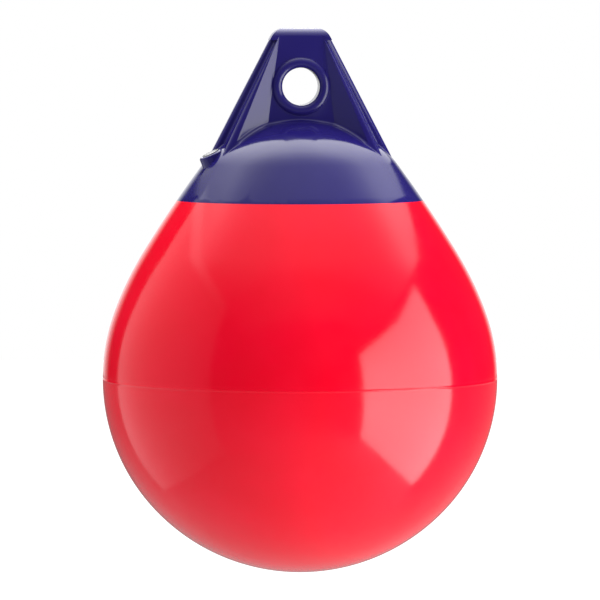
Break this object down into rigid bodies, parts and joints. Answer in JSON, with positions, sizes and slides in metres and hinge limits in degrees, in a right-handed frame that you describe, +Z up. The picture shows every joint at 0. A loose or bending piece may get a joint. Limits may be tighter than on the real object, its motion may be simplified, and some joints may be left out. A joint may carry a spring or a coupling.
{
  "type": "round inflatable buoy",
  "caption": "Teardrop-shaped inflatable buoy: a hollow ball with a moulded crown, a rope-eye lug and an air valve with a screw plug.",
  "frame": {"origin": "centre of the rope eye's bore, at mid-thickness of the lug", "axes": "+Z up along the buoy's axis, from the ball to the top of the eye; +Y along the rope eye's bore; the air valve is on the -X shoulder, a little towards -Y"},
  "size_m": [0.2806, 0.2806, 0.386],
  "materials": {
    "red_vinyl": "glossy soft vinyl",
    "blue_vinyl": "glossy soft vinyl",
    "insert_plastic": "satin moulded nylon",
    "screw_plastic": "satin moulded nylon"
  },
  "bodies": {
    "buoy": {"body_shell": "red_vinyl", "top_moulding": "blue_vinyl", "valve_insert": "insert_plastic"},
    "screw": {"valve_screw": "screw_plastic"}
  },
  "joints": [
    {"name": "valve_screw_slide", "type": "slide", "parent": "buoy", "child": "screw", "axis": [-0.4208, -0.1049, 0.9011], "range_m": [0, 0.02]}
  ]
}
